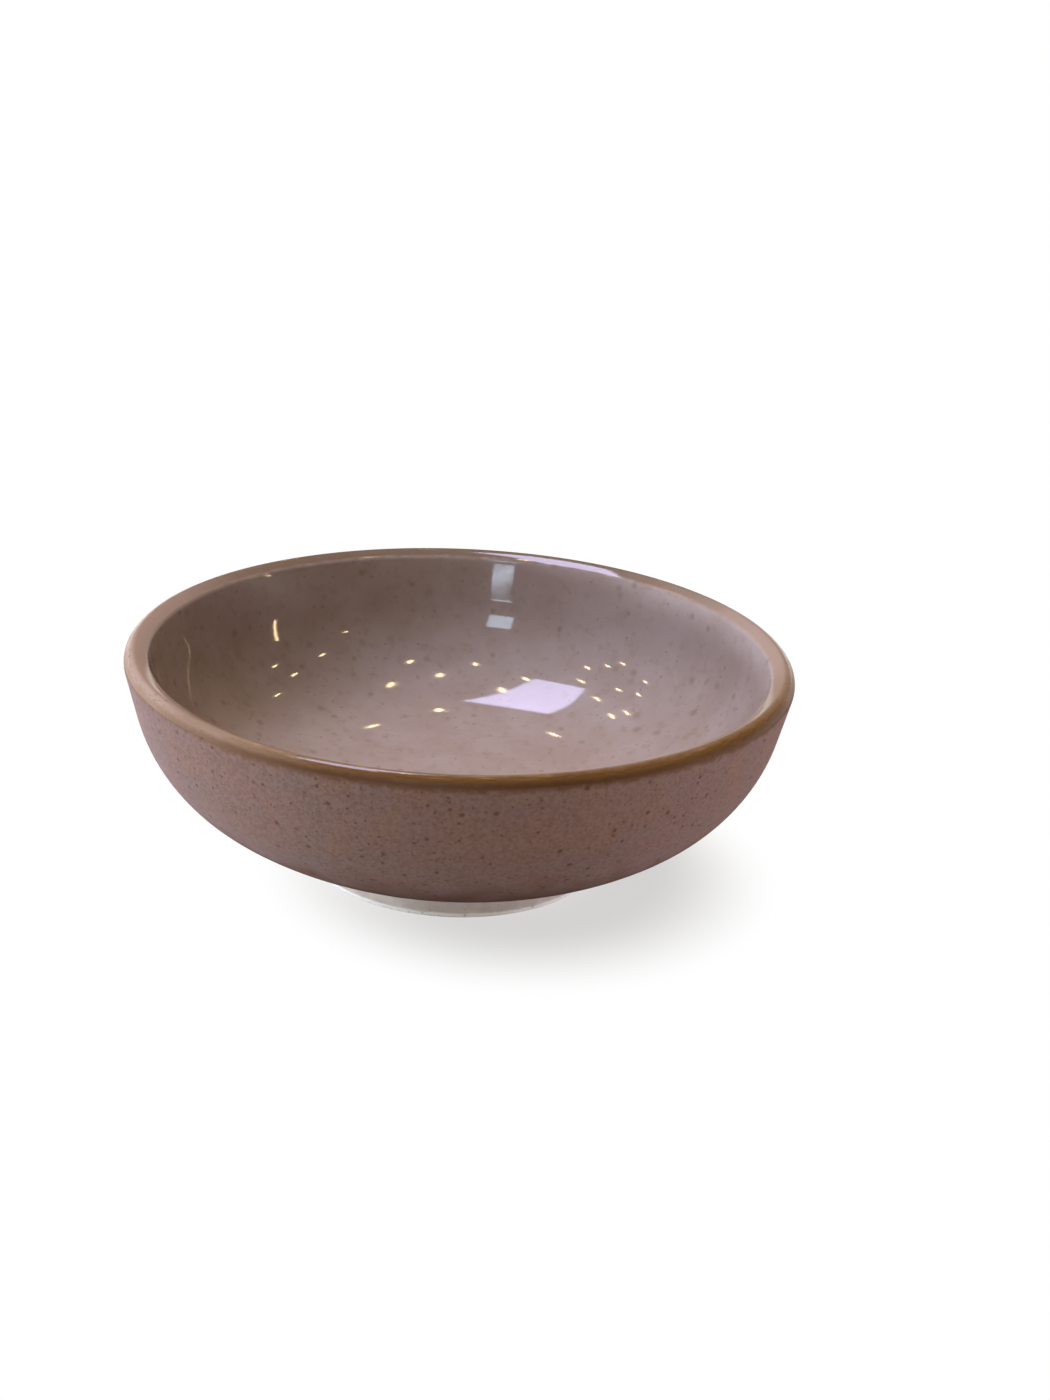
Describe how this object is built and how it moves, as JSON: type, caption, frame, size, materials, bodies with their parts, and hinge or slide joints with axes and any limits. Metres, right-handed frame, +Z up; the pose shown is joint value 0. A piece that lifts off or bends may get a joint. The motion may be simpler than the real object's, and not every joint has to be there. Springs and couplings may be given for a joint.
{
  "type": "soy sauce dish",
  "caption": "Small round dish for soy sauce or dips: curved stoneware wall, glossy inside, satin outside, iron-brown lip, standing on a bare clay foot ring.",
  "frame": {"origin": "on the table plane, under the centre of the foot ring", "axes": "+Z up along the axis the dish is turned about; X and Y are free, since the dish is round"},
  "size_m": [0.09, 0.09, 0.031],
  "materials": {
    "clay": "bare fired stoneware",
    "foot_clay": "bare fired stoneware, wiped",
    "inside_gloss": "gloss",
    "outside_satin": "satin with fine iron specks",
    "iron_band": "semi-gloss",
    "base_satin": "satin"
  },
  "bodies": {
    "root": {"clay_bowl": "clay", "foot_ring": "foot_clay", "inside_glaze": "inside_gloss", "outside_glaze": "outside_satin", "rim_band": "iron_band", "base_glaze": "base_satin"}
  },
  "joints": []
}
